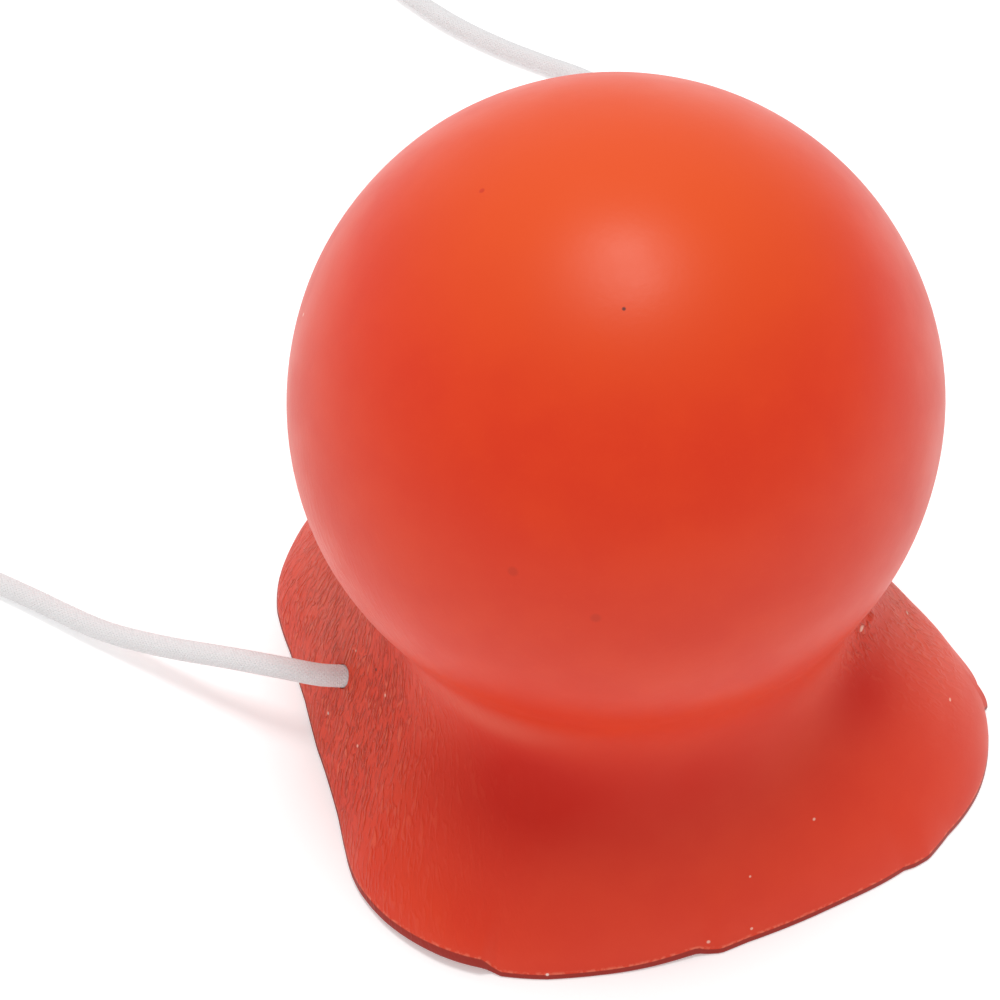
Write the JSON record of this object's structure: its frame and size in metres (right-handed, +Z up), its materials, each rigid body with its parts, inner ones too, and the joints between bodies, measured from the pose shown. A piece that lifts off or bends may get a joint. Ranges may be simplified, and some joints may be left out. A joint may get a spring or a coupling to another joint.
{
  "type": "clown nose",
  "caption": "Hollow moulded latex ball on a flared, open skirt that fits over the wearer's nose, with a thin round elastic from side to side to go round the head.",
  "frame": {"origin": "on the surface that the skirt's open rim rests on, below the middle of the ball, in the opening that the wearer's nose enters", "axes": "+Z up through the ball's top, away from the wearer's face; +X from the left cord hole to the right one; -Y towards the skirt's broad front apron"},
  "size_m": [0.1077, 0.1479, 0.06],
  "materials": {
    "latex": "satin moulded latex, softly glossy",
    "elastic": "white covered round elastic"
  },
  "bodies": {
    "root": {"nose_shell": "latex", "elastic_cord": "elastic", "elastic_knot_left": "elastic", "elastic_knot_right": "elastic"}
  },
  "joints": []
}
